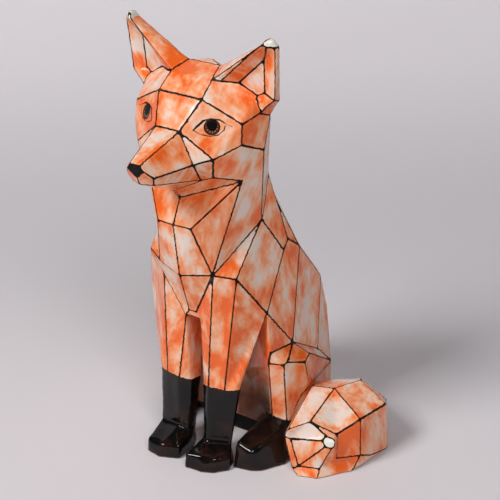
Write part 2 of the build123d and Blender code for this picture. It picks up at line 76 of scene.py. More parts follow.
def outer_faces():
    """The castings' faces that are seen from outside: points, corners and whose they are.

    A face of a hollow or a seam has too few open looks. The seams are welded."""
    bm = bmesh.new()
    whose = bm.faces.layers.int.new("casting")
    for i, name in enumerate(castings):
        before = len(bm.faces)
        bm.from_mesh(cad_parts[name].data)
        bm.faces.ensure_lookup_table()
        for f in bm.faces[before:]:
            f[whose] = i
    tree = BVHTree.FromBMesh(bm)
    golden = math.pi * (3 - math.sqrt(5))
    looks = []
    for i in range(LOOKS):
        z = 1 - (i + 0.5) / (LOOKS / 2)
        r = math.sqrt(1 - z * z)
        looks.append(Vector((r * math.cos(i * golden), r * math.sin(i * golden), z)))
    inner = []
    for f in bm.faces:
        n = f.normal
        start = f.calc_center_median() + n * LIFT
        open_looks = sum(1 for look in looks
                         if look.dot(n) > GRAZING and tree.ray_cast(start, look)[0] is None)
        if open_looks < LEAST_OPEN:
            inner.append(f)
    bmesh.ops.delete(bm, geom=inner, context="FACES")
    bmesh.ops.remove_doubles(bm, verts=bm.verts, dist=WELD)
    rim = [e for e in bm.edges if e.is_boundary]
    bmesh.ops.holes_fill(bm, edges=rim, sides=0)
    bmesh.ops.triangulate(bm, faces=[f for f in bm.faces if len(f.verts) > 3])
    bm.verts.index_update()
    points = np.array([v.co[:] for v in bm.verts]) / MM
    corners = np.array([[v.index for v in f.verts] for f in bm.faces])
    owners = np.array([f[whose] for f in bm.faces])
    bm.free()
    return points, corners, owners


def even_points(tri, step):
    """The points of small even triangles inside a flat triangle, clear of its edges."""
    lo, hi = tri.min(0), tri.max(0)
    row = np.arange(lo[0], hi[0] + step, step)
    heights = np.arange(lo[1], hi[1] + step, step * ROW_SHARE)
    grid = np.concatenate([np.stack([row + (k % 2) * step / 2, np.full(len(row), y)], 1)
                           for k, y in enumerate(heights)])
    clear = np.ones(len(grid), bool)
    for p, q in zip(tri, np.roll(tri, -1, 0)):
        d = (q - p) / np.linalg.norm(q - p)
        off = d[0] * (grid[:, 1] - p[1]) - d[1] * (grid[:, 0] - p[0])
        clear &= off > RIM_SHARE * step
    return grid[clear]


def fine_mesh(points, corners):
    """Every facet is divided into small even triangles, sharing its edges' points."""
    fine, cut = [tuple(p) for p in points], {}
    eye_places = [np.array((side * eye_middle[0] + fox.x, eye_middle[1] + fox.y, eye_middle[2]))
                  for side in (-1, 1)]

    def along(a, b):
        key = (min(a, b), max(a, b))
        if key not in cut:
            p, q = points[key[0]], points[key[1]]
            n = max(1, round(np.linalg.norm(q - p) / POINT_STEP))
            cut[key] = [key[0]]
            for i in range(1, n):
                cut[key].append(len(fine))
                fine.append(tuple(p + (q - p) * i / n))
            cut[key].append(key[1])
        return cut[key] if key[0] == a else cut[key][::-1]

    faces, parent = [], []
    for t, (a, b, c) in enumerate(corners):
        rim = along(a, b)[:-1] + along(b, c)[:-1] + along(c, a)[:-1]
        o = points[a]
        u = points[b] - o
        u = u / np.linalg.norm(u)
        n = np.cross(u, points[c] - o)
        n = n / np.linalg.norm(n)
        v = np.cross(n, u)
        flat = [((np.array(fine[i]) - o) @ u, (np.array(fine[i]) - o) @ v) for i in rim]
        tri = np.array([((points[i] - o) @ u, (points[i] - o) @ v) for i in (a, b, c)])
        near = [e for e in eye_places if np.linalg.norm(o - e) < EYE_FACETS]
        inside = []
        for step in (POINT_STEP, EYE_STEP) if near else (POINT_STEP,):
            grid = even_points(tri, step)
            if near and len(grid):
                place = o + grid[:, :1] * u + grid[:, 1:] * v
                off = np.min([np.linalg.norm(place - e, axis=1) for e in near], 0)
                grid = grid[off < EYE_REACH if step == EYE_STEP else off > EYE_REACH + EYE_GAP]
            inside += [tuple(p) for p in grid]
        first = len(fine)
        fine += [tuple(o + x * u + y * v) for x, y in inside]
        index = rim + list(range(first, len(fine)))
        k = len(rim)
        made = delaunay_2d_cdt([Vector(p) for p in flat + inside],
                               [(i, (i + 1) % k) for i in range(k)], [], 1, 1e-6)
        back_to = [index[w[0]] for w in made[3]]
        for face in made[2]:
            faces.append([back_to[i] for i in face])
            parent.append(t)
    return np.array(fine), np.array(faces), np.array(parent)


def soften(points, faces):
    """Edges and corners are rounded as by a wet sponge; flat places stay flat."""
    pairs = np.concatenate([faces[:, [0, 1]], faces[:, [1, 2]], faces[:, [2, 0]]])
    pairs = np.unique(np.sort(pairs, 1), axis=0)
    a, b = pairs[:, 0], pairs[:, 1]
    count = np.bincount(a, minlength=len(points)) + np.bincount(b, minlength=len(points))
    for _ in range(EDGE_PASSES):
        total = np.stack([np.bincount(a, points[b, i], len(points))
                          + np.bincount(b, points[a, i], len(points)) for i in range(3)], 1)
        points = points + 0.5 * (total / count[:, None] - points)
        points[:, 2] = np.maximum(points[:, 2], 0)
    return points


coarse, coarse_tris, coarse_owner = outer_faces()
sharp, skin_tris, skin_parent = fine_mesh(coarse, coarse_tris)
soft = soften(sharp, skin_tris)
skin_owner = coarse_owner[skin_parent]
area = np.cross(soft[skin_tris[:, 1]] - soft[skin_tris[:, 0]],
                soft[skin_tris[:, 2]] - soft[skin_tris[:, 0]])
skin_normal = np.zeros_like(soft)
for i in range(3):
    for k in range(3):
        skin_normal[:, k] += np.bincount(skin_tris[:, i], area[:, k], len(soft))
skin_normal /= np.linalg.norm(skin_normal, axis=1)[:, None]

# The torso is the largest earthenware casting, open at the neck, legs, feet and
# tail. Its facets are sponged with orange stain over cream glaze, and a liner
# brush draws the black line along each facet's edge.
facet_tree = BVHTree.FromPolygons(coarse.tolist(), coarse_tris.tolist())
MATCH = 1.2     # mm from a named place to the corner of the castings that it names
BRUSH_STEP = 4  # mm between the places where the brush is set on the facets
UNLINED = -8.0  # how far from any line, in mm, a place counts as the middle of a facet
corner = {}     # named corners of the facets, as numbers of coarse points
spot = {}       # named places on the facets that the brush passes away from the corners
lines = []      # painted lines so far: two ends and the width, all mm
PHOTO_SIDE = 500                        # pixels
CROP_LEFT, CROP_TOP, ENLARGED = 120, 20, 3      # the fox in it, enlarged three times
PIXEL = 0.625                           # mm on the fox that one pixel of the photograph shows
across = Vector((math.cos(turn), math.sin(turn), 0))


def name_corners(text):
    """Names the facets' corners: the place is in the fox's own frame, in mm.

    A corner off the centre line is named on the fox's right too, with a ~ in
    front, unless it has that ~ already or ends with a '."""
    for row in text.replace("\n", " ").split(";"):
        name, *place = row.split()
        x, y, z = map(float, place)
        for side in ("", "~") if x and name[0] != "~" and name[-1] != "'" else ("",):
            where = np.array((-x if side else x, y, z)) + fox
            off = np.linalg.norm(coarse - where, axis=1)
            if off.min() < MATCH:
                corner[side + name] = int(off.argmin())
            elif not side:
                raise ValueError("no corner near " + name)


def paint_lines(width, text, mirrored=True):
    """Brush lines from corner to corner, and the same on the fox's other side.

    A name with ~ in front is on the right. A width of two numbers runs from
    the first to the second along each stretch."""
    for row in text.replace("\n", " ").split(";"):
        names = row.split()
        rows = [names]
        if mirrored:
            rows.append([n[1:] if n[0] == "~" else ("~" + n if "~" + n in corner else n)
                         for n in names])
        for r in rows:
            for p, q in zip(r, r[1:]):
                lines.append((corner[p], corner[q], width))


def seen_at(x, y):
    """Where the fox is touched at a place given on the enlarged photograph."""
    right = CROP_LEFT + x / ENLARGED - PHOTO_SIDE / 2
    down = CROP_TOP + y / ENLARGED - PHOTO_SIDE / 2
    look = across * right - back.cross(across) * down - back * PHOTO_SIDE * LENS / SENSOR
    return facet_tree.ray_cast(camera.location / MM, look.normalized())[0] - fox


def name_spots(text):
    """Names spots on the facets: across and down on the enlarged photograph."""
    for row in text.replace("\n", " ").split(";"):
        name, x, y = row.split()
        spot[name] = np.array(seen_at(float(x), float(y)))


def free_line(width, text, sides=(1,)):
    """A brush line from spot to spot, on the fox's left or, with -1, its right."""
    names = text.split()
    for p, q in zip(names, names[1:]):
        for side in sides:
            lines.append((spot[p] * (side, 1, 1) + fox, spot[q] * (side, 1, 1) + fox, width))


def distance_to(points, a, b):
    """How far points are from the line a-b, and where along it from 0 to 1."""
    ab = b - a
    t = np.clip(((points - a) @ ab) / max(ab @ ab, 1e-9), 0, 1)
    return np.linalg.norm(points - a - t[:, None] * ab, axis=1), t


def on_skin(a, b):
    """The way of the brush from one point to another, laid on the facets."""
    n = max(1, round(np.linalg.norm(b - a) / BRUSH_STEP))
    between = [facet_tree.find_nearest(Vector(a + (b - a) * i / n))[0] for i in range(1, n)]
    return [a] + [np.array(p) for p in between] + [b]


def inked(points):
    """How far inside the nearest brush line each point is, in mm."""
    deep = np.full(len(points), UNLINED)
    rng = random.Random(7)
    meet = {}
    for a, b, width in lines:
        cornered = isinstance(a, int)
        way = on_skin(coarse[a], coarse[b]) if cornered else [a, b]
        start, stop = width if isinstance(width, tuple) else (width, width)
        hand = rng.uniform(0.85, 1.15)
        for i, (p, q) in enumerate(zip(way, way[1:])):
            d, t = distance_to(points, p, q)
            wide = (start + (stop - start) * (i + t) / (len(way) - 1)) * hand
            deep = np.maximum(deep, wide / 2 - d)
        for end, wide in ((a, start), (b, stop)) if cornered else ():
            count, widest = meet.get(end, (0, 0))
            meet[end] = (count + 1, max(widest, wide))
    # the black gathers in a small blot where three lines or more meet
    for end, (count, wide) in meet.items():
        if count > 2:
            blot = wide * rng.uniform(0.55, 0.95)
            deep = np.maximum(deep, blot - np.linalg.norm(points - coarse[end], axis=1))
    return deep


# Where the sponge is pressed harder, or lifted if below zero. Each dab is given
# on the enlarged photograph: how far across and down, how wide, and how
# much, in hundredths.
dab_picks = {
    "crown": "180 150 30 15; 250 200 35 -5; 400 235 22 15; 330 215 30 -6; 80 250 14 6",
    "left cheek": """270 385 25 12; 330 395 22 -10; 310 345 18 -6; 400 330 15 12; 410 365 12 -8;
                     390 405 25 -12; 330 430 20 14; 420 440 20 6; 300 410 15 -6""",
    "muzzle": """105 400 25 10; 185 440 20 -16; 150 355 20 -6; 60 400 18 10; 130 470 15 10;
                 30 460 12 10; 75 475 10 6""",
    "neck": """250 560 40 12; 200 590 22 -16; 370 560 25 -14; 300 640 30 10; 115 560 25 20;
               150 600 15 -10; 195 670 30 -25; 145 650 20 -12""",
    # the lifted dab at 390 660 pales the top of the shoulder-chest-point triangle: partly paler
    # stain, partly a painted highlight
    "chest": """200 745 18 12; 245 690 25 12; 390 660 22 -20; 330 740 20 10; 440 660 28 15;
                425 760 20 6; 390 790 22 -12; 470 740 18 -14; 220 790 18 -6; 130 800 22 -18""",
    "forelegs": """110 900 28 16; 170 960 30 16; 200 1010 14 10; 300 810 24 -20; 310 900 20 8;
                   330 965 32 20; 300 1010 22 15; 270 1062 20 -24; 380 880 20 -12;
                   400 930 28 15; 350 1050 24 16; 250 900 16 6""",
    "flank": """515 700 20 20; 490 790 25 -6; 560 760 25 -15; 540 850 25 6; 575 900 18 -10;
                605 900 12 8; 470 920 22 10; 480 880 14 -10""",
    "thigh": """560 950 20 6; 545 1010 14 14; 500 995 12 8; 520 1080 16 -8; 470 1150 14 8;
                590 1040 14 6""",
    "tail": """560 1135 14 16; 640 1125 14 18; 620 1185 26 -16; 705 1130 26 12; 745 1180 16 -10;
               690 1250 20 16; 765 1240 22 -12; 700 1312 16 16; 600 1345 20 -22;
               560 1300 16 5; 560 1235 18 -20; 660 1200 16 10""",
    "right ear": """60 110 18 14; 55 80 18 -25; 75 150 16 22; 35 40 14 6; 100 80 18 -10;
                    140 90 22 18; 90 30 20 4; 180 115 18 10; 45 60 38 -25; 67 97 29 -15;
                    27 23 34 -20""",
    "left ear": "350 170 18 12; 420 100 16 10; 400 175 22 -4; 430 240 14 10; 430 140 10 -5"}
DAB_SPREAD = 1.25                       # a dab fades out over this share of its reach
dabs = []                               # place and reach to the whole mm, and how much
for picks in dab_picks.values():
    for pick in picks.split(";"):
        x, y, wide, amount = map(float, pick.split())
        reach = round(wide / ENLARGED * PIXEL)
        dabs.append(([round(c) for c in seen_at(x, y)], reach, amount / 100))


def dabbed(points):
    """How much the dabs add to the stain at each point."""
    total = np.zeros(len(points))
    for place, reach, amount in dabs:
        off = np.linalg.norm(points - np.array(fox) - place, axis=1) / (DAB_SPREAD * reach)
        total += amount * np.exp(-off ** 2)
    return total


def facets_of(owner):
    """Coarse triangles of one casting in groups that no painted line crosses."""
    drawn = {tuple(sorted((a, b))) for a, b, _ in lines if isinstance(a, int)}
    mine = [t for t in range(len(coarse_tris)) if coarse_owner[t] == owner]
    group = {t: t for t in mine}

    def root(t):
        while group[t] != t:
            t = group[t]
        return t

    seen = {}
    for t in mine:
        a, b, c = coarse_tris[t]
        for e in ((a, b), (b, c), (c, a)):
            e = tuple(sorted(e))
            if e in drawn:
                continue
            if e in seen:
                group[root(t)] = root(seen[e])
            seen[e] = t
    return {t: root(t) for t in mine}


def within(names, tris):
    """Those coarse triangles whose three corners are all named."""
    named = {corner[n] for n in names.split()}
    return [t for t in tris if set(coarse_tris[t].tolist()) <= named]


def close_seams(points, tris):
    """A fan over each open seam of a part of the skin, and the fans' middle points."""
    half = dict.fromkeys(e for a, b, c in tris.tolist() for e in ((a, b), (b, c), (c, a)))
    follow = {b: a for a, b in half if (b, a) not in half}
    fans, middles = [], []
    while follow:
        loop, at = [], next(iter(follow))
        while at in follow:
            loop.append(at)
            at = follow.pop(at)
        middle = len(points) + len(middles)
        middles.append(points[loop].mean(0))
        fans += [(p, q, middle) for p, q in zip(loop, loop[1:] + loop[:1])]
    return fans, np.array(middles).reshape(-1, 3)


def take_piece(node, title, washes=(), fills=(), black_below=None, paler=0.0, fold_shade=None):
    """One casting's part of the skin, closed at its seams, with its paint.

    washes thin the stain (or thicken it, below zero) on the facets inside the
    named corners, in one place as a painted highlight, and paler does so
    everywhere; fills paint facets in one colour; black_below says where the skin
    is black, and fold_shade where a dark brown is painted in as shade."""
    owner = castings.index(node)
    mine = skin_owner == owner
    parent = skin_parent[mine]
    used, tris = np.unique(skin_tris[mine], return_inverse=True)
    tris = tris.reshape(-1, 3)
    fans, middles = close_seams(soft[used], tris)
    faces = tris.tolist() + fans
    mesh = bpy.data.meshes.new(title)
    mesh.from_pydata((np.concatenate([soft[used], middles]) * MM).tolist(), [], faces)
    mesh.polygons.foreach_set("use_smooth", [True] * len(faces))

    def lay(name, domain, values, on_seams):
        layer = mesh.attributes.new(name, "FLOAT", domain)
        layer.data.foreach_set("value", np.concatenate([values, on_seams]).astype(np.float32))

    place, on_seams = sharp[used], np.zeros(len(middles))
    deep = inked(place)
    # black round the foot of the belly, between the hind feet
    if black_below:
        deep = np.maximum(deep, black_below(place - np.array(fox)))
    lay("ink", "POINT", deep, on_seams + UNLINED)
    lay("press", "POINT", dabbed(place), on_seams)
    # painted shade: a dark brown where the fold behind each foreleg lies in shade
    if fold_shade:
        lay("brown", "POINT", fold_shade(place - np.array(fox)), on_seams)

    # each facet has its own amount of stain, on one muzzle facet partly a painted highlight, and
    # its own place in the sponge's pattern
    groups = facets_of(owner)
    rng = random.Random(node)
    tint = {g: (paler + rng.uniform(-0.7, 0.7), [rng.uniform(-1, 1) for _ in range(3)])
            for g in sorted(set(groups.values()))}
    wash_and_highlight = {g: amount for g, (amount, _) in tint.items()}
    for names, amount in washes:
        for t in within(names, groups):
            wash_and_highlight[groups[t]] = amount
    filled = {t: colour for names, colour in fills for t in within(names, groups)}
    on_seams = np.zeros(len(fans))
    lay("fill", "FACE", [filled.get(t, 0.0) for t in parent], on_seams)
    lay("wash_and_highlight", "FACE", [wash_and_highlight[groups[t]] for t in parent], on_seams)
    slide = mesh.attributes.new("slide", "FLOAT_VECTOR", "FACE")
    slide.data.foreach_set("vector", [c for t in parent for c in tint[groups[t]][1]]
                           + [0.0] * 3 * len(fans))
    mesh.normals_split_custom_set_from_vertices(
        skin_normal[used].tolist() + [(0.0, 0.0, 1.0)] * len(middles))
    piece = bpy.data.objects.new(title, mesh)
    bpy.context.scene.collection.objects.link(piece)
    return piece


def finish_piece(piece, node, material):
    """The material and the place in the assembly that a finished piece has."""
    piece.data.materials.append(material)
    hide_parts(node)
    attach(piece, "root")


name_corners("""
bib 0 -12 179; collar 13 -11 179; chest 21 1 144; breast 0 -6 141; shoulder 37 34 176;
nape_side 35 44 205; nape 17 60 204; point 34 9 141; elbow 43 32 110; blade_low 44 50 148;
blade 44 55 155; neck_back 40 48 184; withers 46 67 146; thigh 48 55 79; flank 43 99 111;
hip 48 89 58; rump 43 109 82; rump_low 46 111 39; root 46 111 18;
back_1 19 72 182; back_2 21 92 143; back_3 23 117 104; back_4 24 130 70; back_5 25 134 32;
crotch 3 8 110; crotch_low 6 8 105; belly_1 9 34 90;
armpit 26 44 85; knee 45 33 80; knee_in 43 32 72;
knee_out 52 38 71; knee_top 54 40 72; side_low 58 56 66; side_top 56 65 69;
side_mid 59 62 46; shin_in 42 38 28; shin_out 52 43 25; shin_side 59 64 20; heel 60 66 0;
heel_in 31 62 0; shin_back 33 46 24; ~point -35 9 146; ~elbow -49 28 107; ~arm -21 5 134
""")
paint_lines(1.2, """
collar chest point elbow thigh; elbow blade_low blade;
knee thigh; knee knee_in shin_in; knee knee_in knee_out; knee_top thigh;
knee_top knee_out; knee_top side_low
""")
paint_lines(1.35, "breast chest; chest crotch", mirrored=False)
paint_lines(0.95, "breast ~crotch crotch; ~crotch ~crotch_low crotch_low", mirrored=False)
paint_lines(0.6, "breast ~chest", mirrored=False)
paint_lines(0.95, """
bib collar; bib breast; point shoulder chest; blade withers;
withers thigh; shoulder blade_low; knee_out shin_out; side_low side_mid; side_low side_top;
side_mid shin_side
""")
paint_lines(0.75, """
thigh side_top rump_low; flank hip; thigh hip rump_low; withers flank rump rump_low root;
shoulder nape_side nape; nape_side neck_back blade; neck_back withers; neck_back back_1;
nape back_1 back_2 back_3 back_4 back_5; back_1 ~back_1; back_2 ~back_2; back_3 ~back_3;
back_4 ~back_4; back_5 ~back_5; nape ~nape; withers back_2; flank back_3; rump back_4;
rump_low back_5; side_mid root; side_mid rump_low; crotch_low belly_1; shin_side root;
belly_1 ~belly_1; shin_in shin_out shin_side heel; shin_in shin_back heel_in
""")
# between thigh and tail the brush keeps to the seam, not to an edge of the facets
name_spots("seam_1 576 1095; seam_2 561 1107; seam_3 546 1122; seam_4 532.5 1146; seam_5 519 1176")
free_line(1.3, "seam_1 seam_2 seam_3 seam_4")
free_line((1.3, 0.6), "seam_4 seam_5")


def feed(tree, value, socket):
    """Links the value to the socket, or sets it there if it is a constant."""
    if isinstance(value, bpy.types.NodeSocket):
        tree.links.new(value, socket)
    else:
        socket.default_value = value


def link(tree, kind, **values):
    """A new node: its settings and sockets by name, i0, i1 for sockets by their place."""
    node = tree.nodes.new(kind)
    for key, value in values.items():
        if hasattr(node, key) and not key[0].isupper():
            setattr(node, key, value)
        else:
            feed(tree, value, node.inputs[int(key[1:]) if key[1:].isdigit() else key])
    return node


def number(tree, what, a, b=0.0, c=0.0):
    """A sum of numbers; MULTIPLY_ADD is a times b plus c."""
    return link(tree, "ShaderNodeMath", operation=what, i0=a, i1=b, i2=c).outputs[0]


def blend(tree, amount, a, b):
    """From colour a at 0 to colour b at 1."""
    mix = link(tree, "ShaderNodeMix", data_type="RGBA", i0=amount, i6=a, i7=b)
    return mix.outputs[2]


def ease(tree, value, low, high):
    """From 0 at low to 1 at high, softly."""
    node = link(tree, "ShaderNodeMapRange", interpolation_type="SMOOTHSTEP",
                i0=value, i1=low, i2=high, i3=0.0, i4=1.0)
    return node.outputs[0]


def painted(tree, name, output="Fac"):
    """What take_piece laid on the mesh under this name."""
    return link(tree, "ShaderNodeAttribute", attribute_name=name).outputs[output]


CREAM, BLACK = 1.0, 2.0                 # facets that are filled with one colour
cream, blush = (0.80, 0.66, 0.58, 1), (0.88, 0.50, 0.34, 1)
orange, deep_orange = (0.90, 0.30, 0.12, 1), (0.86, 0.135, 0.018, 1)
# the first of these is a dark brown painted as shade in the deep fold behind each foreleg
painted_shade_brown, tip_cream = (0.15, 0.048, 0.03, 1), (0.80, 0.74, 0.64, 1)
liner_black, worn_black = (0.006, 0.005, 0.005, 1), (0.045, 0.028, 0.022, 1)
dark_clay, pale_clay = (0.42, 0.22, 0.13, 1), (0.62, 0.40, 0.28, 1)
SLIDE = (0.02, 0.02, 0.02)              # m that the sponge's pattern slides on a facet
GRAIN = (0.45, -0.8, 0.4)               # the way that the fox's front facets face
SLANT = 0.8                             # the most that a facet's strokes lean, in radians
GLAZE_WAVE = 0.0008                     # m, height of the slow waves in the glaze
CLAY_TOP, GLAZE_FOOT = 0.0005, 0.0011   # m above the floor: bare below, glazed above


def sponged_glaze(name, face=None, marks=0.75, shift=0.0):
    """Orange stain sponged over cream glaze, with the liner's black on top.

    face paints over the stain before the lines, marks is how strongly the
    sponge marks show, and shift adds stain everywhere."""
    material = bpy.data.materials.new(name)
    material.use_nodes = True
    tree = material.node_tree
    shader = tree.nodes["Principled BSDF"]
    place = tree.nodes.new("ShaderNodeTexCoord").outputs["Object"]
    slide = painted(tree, "slide", "Vector")
    slid = link(tree, "ShaderNodeVectorMath", operation="MULTIPLY_ADD",
                i0=slide, i1=SLIDE, i2=place).outputs[0]
    ink, fill = painted(tree, "ink"), painted(tree, "fill")

    def cloud(scale, detail, rough=0.55, where=slid, distortion=0.0):
        return link(tree, "ShaderNodeTexNoise", Vector=where, Scale=scale, Detail=detail,
                    Roughness=rough, Distortion=distortion).outputs[0]

    # the stain lies in soft clouds, and sponge and brush drag it along each facet
    lean = link(tree, "ShaderNodeSeparateXYZ", Vector=slide).outputs[0]
    leant = link(tree, "ShaderNodeVectorRotate", rotation_type="AXIS_ANGLE", Vector=slid,
                 Axis=GRAIN, Angle=number(tree, "MULTIPLY", lean, SLANT)).outputs[0]
    dragged = link(tree, "ShaderNodeMapping", Vector=leant, Scale=(1.0, 1.0, 0.55)).outputs[0]
    swept = link(tree, "ShaderNodeMapping", Vector=leant, Scale=(1.0, 1.0, 0.22)).outputs[0]
    large = cloud(30, 1.0, distortion=0.5)
    middle = cloud(105, 3.0, where=dragged, distortion=0.3)
    small = cloud(480, 3.0, 0.65)
    strokes = cloud(330, 2.0, 0.5, where=swept)

    # how much stain there is: up to 0.75 the glaze is cream, from 1.18 it is deep orange
    cover = number(tree, "MULTIPLY_ADD", large, 0.75, 0.375 + shift)
    cover = number(tree, "MULTIPLY_ADD", number(tree, "SUBTRACT", middle, 0.5), marks, cover)
    cover = number(tree, "MULTIPLY_ADD", strokes, 0.30, cover)
    cover = number(tree, "MULTIPLY_ADD", small, 0.12, cover)
    cover = number(tree, "MULTIPLY_ADD", ease(tree, ink, -7.0, -1.0), 0.05, cover)
    # less stain per facet, and on one muzzle facet partly a painted highlight
    cover = number(tree, "MULTIPLY_ADD", painted(tree, "wash_and_highlight"), -0.06, cover)
    cover = number(tree, "ADD", cover, painted(tree, "press"))
    colour = blend(tree, ease(tree, cover, 0.75, 0.94), cream, blush)
    colour = blend(tree, ease(tree, cover, 0.87, 1.05), colour, orange)
    colour = blend(tree, ease(tree, cover, 1.00, 1.18), colour, deep_orange)
    # painted shade: dark brown in the deep fold behind each foreleg
    colour = blend(tree, painted(tree, "brown"), colour, painted_shade_brown)
    colour = blend(tree, ease(tree, fill, 0.4, 0.6), colour, tip_cream)
    matt = 0.0
    if face:
        colour, matt = face(tree, place, colour)

    # the liner's edge wavers, and its black is thin in places
    waver = cloud(300, 1.0, where=place)
    edge = number(tree, "MULTIPLY_ADD", waver, 0.5, number(tree, "SUBTRACT", ink, 0.25))
    line = number(tree, "MAXIMUM", ease(tree, edge, -0.26, 0.18), ease(tree, fill, 1.4, 1.6))
    full = ease(tree, cloud(140, 1.0, where=place), 0.30, 0.46)
    colour = blend(tree, line, colour, blend(tree, full, worn_black, liner_black))

    # no glaze on the foot: it is wiped to the clay, so the fox doesn't stick
    height = link(tree, "ShaderNodeSeparateXYZ", Vector=place).outputs[2]
    wiped = ease(tree, height, GLAZE_FOOT, CLAY_TOP)
    colour = blend(tree, wiped, colour, blend(tree, small, dark_clay, pale_clay))
    tree.links.new(colour, shader.inputs["Base Color"])

    # the glaze is glossy, duller at the rounded edges, on the lines and on bare clay
    rough = number(tree, "MULTIPLY_ADD", middle, 0.10, 0.06)
    rough = number(tree, "MULTIPLY_ADD", ease(tree, ink, -3.2, -1.0), 0.20, rough)
    rough = number(tree, "MULTIPLY_ADD", line, 0.25, rough)
    rough = number(tree, "MULTIPLY_ADD", wiped, 0.7, rough)
    tree.links.new(rough, shader.inputs["Roughness"])
    tree.links.new(number(tree, "MULTIPLY_ADD", number(tree, "MAXIMUM", line, matt), -0.38, 0.5),
                   shader.inputs["Specular IOR Level"])

    # slow waves in the glaze, and the line stands up a little
    waves = number(tree, "MULTIPLY_ADD", cloud(90, 1.0, where=place), 0.35,
                   number(tree, "MULTIPLY", line, 0.05))
    waves = number(tree, "MULTIPLY_ADD", small, 0.03, waves)
    bump = link(tree, "ShaderNodeBump", Strength=0.6, Distance=GLAZE_WAVE, Height=waves)
    tree.links.new(bump.outputs[0], shader.inputs["Normal"])
    return material


orange_glaze = sponged_glaze("sponged orange glaze")


HEM_HALF, HEM_FRONT, HEM_BACK, HEM_TOP = 34, 44, 64, 13     # mm in the fox's own frame
# where the painted shade behind each foreleg lies and fades in, in mm
FOLD_IN, FOLD_OUT, FOLD_FRONT, FOLD_BACK, FOLD_TOP = 5, 42.8, 18, 66, 72
FADE_IN, FADE_OUT, FADE_DOWN = 4, 2.5, 40                   # mm in which its brown comes on
FOLD_STRENGTH = 0.94


def black_belly_foot(p):
    """The skin is black round the foot of the belly, between the hind feet, up to HEM_TOP."""
    x, y, z = np.abs(p[:, 0]), p[:, 1], p[:, 2]
    return np.where((x < HEM_HALF) & (y > HEM_FRONT) & (y < HEM_BACK), HEM_TOP - z, UNLINED)


def painted_fold_shade(p):
    """Painted shade: a dark brown, fading in, in the deep fold behind each foreleg."""
    x, y, z = np.abs(p[:, 0]), p[:, 1], p[:, 2]
    wide = np.clip((FOLD_OUT - x) / FADE_OUT, 0, 1) * np.clip((x - FOLD_IN) / FADE_IN, 0, 1)
    down = np.clip((FOLD_TOP - z) / FADE_DOWN, 0, 1)
    return FOLD_STRENGTH * wide * down * (y > FOLD_FRONT) * (y < FOLD_BACK)


torso = take_piece("torso", "torso_sponged", black_below=black_belly_foot, fold_shade=painted_fold_shade, washes=[
    ("bib collar chest breast", -0.2), ("shoulder chest point", 0.0),
    ("crotch ~crotch crotch_low ~crotch_low", -3.0),
    ("shoulder point elbow blade_low", 0.1), ("breast chest crotch ~crotch", -0.2),
    ("~point ~chest ~crotch ~crotch_low breast ~arm", -0.7), ("bib ~collar ~chest breast", 0.3),
    ("elbow blade_low blade withers thigh", 0.2), ("withers flank rump thigh hip", 0.8),
    ("thigh hip side_top rump_low", 1.0)])
finish_piece(torso, "torso", orange_glaze)

# The head, with muzzle and neck, is a hollow earthenware casting luted to the
# collar. It carries the two painted eyes, and its nose is one small facet
# filled with black.
name_corners("""
brow 16 -2 263; bridge 9 -16 245; nose_top 4 -50 233; nose_side 7 -50 230; lip 10 -44 224;
chin_side 8 -42 218; whisker 20 -18 226; cheek 29 -8 229; jaw 17 -5 211; jowl 24 -2 214;
temple 40 6 250; cheek_back 41 5 236; ear_front 44 20 253; ear_back 47 28 250;
neck_side 46 23 229; neck 38 11 210; crown 12 26 277; ear_root 16 10 272; skull 20 50 258;
skull_low 22 61 232; rim_in 20 14 271; deep 28 20 270; low 40 24 262; low_out 41.5 21 261.6;
nose_low 0 -48 224; chin 0 -46 218; throat_top 0 -10 202; throat 0 -4 196; crown_mid 0 33 277
""")
paint_lines(1.2, """
brow ~brow; brow bridge; bridge ~bridge; brow temple; temple cheek_back; temple ear_front;
cheek_back neck_side; cheek_back cheek; bridge cheek; whisker cheek; whisker lip;
whisker jaw; cheek jowl; jowl neck; neck collar; ear_root rim_in deep; deep low low_out
""")
paint_lines(0.95, """
bridge whisker; brow ear_root; ear_root crown; bridge nose_top; nose_side lip chin_side;
low_out ear_front; ear_front ear_back; neck_side shoulder; jowl jaw throat_top; chin_side jaw;
neck chest; throat_top throat; throat neck; throat bib; nose_low chin; nose_side nose_low;
nose_side nose_top; nose_top ~nose_top; chin_side chin
""")
paint_lines(0.65, """
crown ~crown; neck_side ear_back; crown crown_mid skull ~skull; crown skull skull_low nape;
skull_low ~skull_low; skull_low nape_side; ear_back nape_side; ear_back crown; ear_back skull
""")
# lids and lash of both eyes, in one thin line that swells and fades
name_spots("""
inner 219.5 331.5; upper_1 229.5 321; upper_2 250 302.5; upper_3 272.5 297.5; upper_4 300 300;
upper_5 320 312.5; lash 336.5 320; lower_1 220.5 331; lower_2 240 343; lower_3 270 349;
lower_4 295 345; lower_5 312.5 330; outer 316 317
""")
both_sides = (1, -1)
free_line((0.75, 1.1), "inner upper_1", both_sides)
free_line(1.15, "upper_1 upper_2 upper_3 upper_4", both_sides)
free_line((1.0, 0.35), "upper_4 upper_5", both_sides)
free_line(0.35, "upper_5 lash", both_sides)
free_line(0.5, "lower_1 lower_2 lower_3 lower_4 lower_5 outer", both_sides)
# the eye's own directions: along the eye, up it, and out of its facet
EYE_ALONG, EYE_UP, EYE_OUT = (0.824, 0.562, 0.086), (-0.256, 0.232, 0.94), (0.47, -0.82, 0.33)
IRIS = (-0.1, 0.0, 5.1, 4.9)            # its middle and half its width and height, mm
PUPIL = (0.0, 1.2, 3.2, 3.7)
FLECKS = 11                             # pale flecks round the iris
EYE_SHALLOW, EYE_DEEP = 3.0, 4.0        # mm off its facet, where the eye's paint ends
fleck_brown, iris_brown = (0.34, 0.15, 0.09, 1), (0.05, 0.016, 0.009, 1)
lid_shade, rim_brown = (0.035, 0.012, 0.008, 1), (0.09, 0.026, 0.012, 1)


